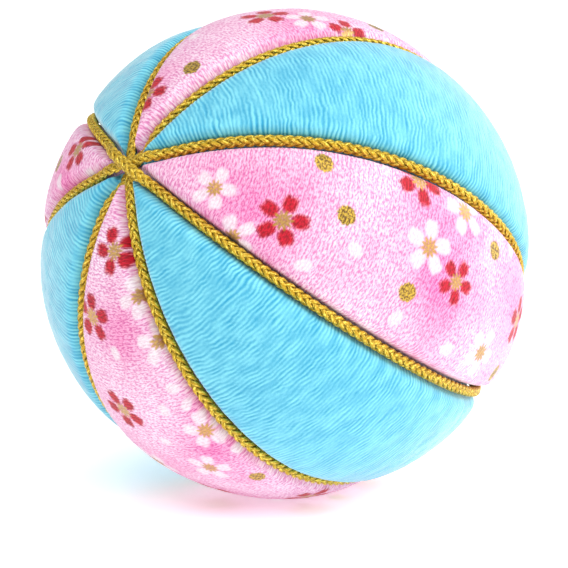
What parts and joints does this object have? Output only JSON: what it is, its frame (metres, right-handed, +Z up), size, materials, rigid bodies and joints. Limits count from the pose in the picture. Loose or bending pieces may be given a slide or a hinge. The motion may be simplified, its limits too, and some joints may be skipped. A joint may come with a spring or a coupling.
{
  "type": "chirimen flower ball",
  "caption": "Stuffed ball of plain and flower-printed crepe gores with a gold braided cord laid in every seam, lying on a small flat spot.",
  "frame": {"origin": "middle of the ball's bounding box in X and Y, on the plane of the flat spot that it rests on", "axes": "+Z up, -Y to the side that the upper pole, where the cords cross, is tipped towards"},
  "size_m": [0.082, 0.0814, 0.081],
  "materials": {
    "plain_crepe": "matt silk crepe with a fine ridged grain, sky blue",
    "printed_crepe": "matt silk crepe, pink, printed with crimson and white blossoms and gold dots",
    "gold_cord": "round braid of gold lame thread, glossy"
  },
  "bodies": {
    "root": {"gore_blue_1": "plain_crepe", "gore_blue_2": "plain_crepe", "gore_blue_3": "plain_crepe", "gore_blue_4": "plain_crepe", "gore_pink_1": "printed_crepe", "gore_pink_2": "printed_crepe", "gore_pink_3": "printed_crepe", "gore_pink_4": "printed_crepe", "cord_loop_1": "gold_cord", "cord_loop_2": "gold_cord", "cord_loop_3": "gold_cord", "cord_loop_4": "gold_cord"}
  },
  "joints": []
}
